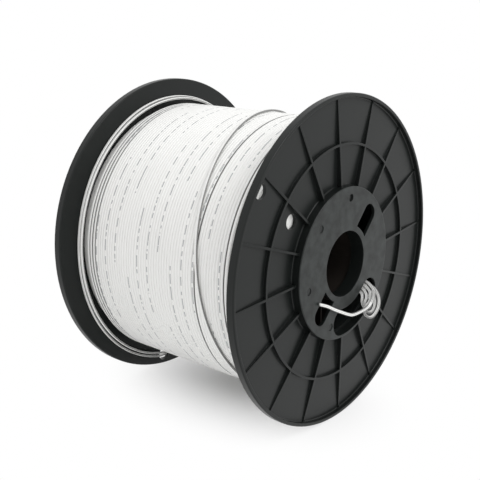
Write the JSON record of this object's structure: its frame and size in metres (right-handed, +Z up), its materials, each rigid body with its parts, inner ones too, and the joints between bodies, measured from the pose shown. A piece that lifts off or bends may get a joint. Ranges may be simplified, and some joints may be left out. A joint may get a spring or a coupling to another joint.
{
  "type": "wire spool",
  "caption": "Plastic cable spool: ribbed round flanges on a hollow barrel, wound with flat white twin cable, its inner end folded into a hub slot.",
  "frame": {"origin": "on the spindle axis, midway between the two flanges", "axes": "+Y along the spindle axis, away from the flange with the folded cable end; +Z up as the spool stands on its rims"},
  "size_m": [0.29, 0.2303, 0.29],
  "materials": {
    "flange_plastic": "charcoal moulded plastic, satin",
    "hub_plastic": "dark grey moulded plastic",
    "cable_jacket": "smooth white cable jacket"
  },
  "bodies": {
    "spool": {"front_flange": "flange_plastic", "rear_flange": "flange_plastic", "barrel": "hub_plastic", "arbor_tube": "hub_plastic", "hub_webs": "hub_plastic", "cable_core": "cable_jacket", "cable_layer": "cable_jacket", "crossing_turn": "cable_jacket", "slack_turns": "cable_jacket", "tail_hank": "cable_jacket", "tail_end": "cable_jacket"}
  },
  "joints": []
}
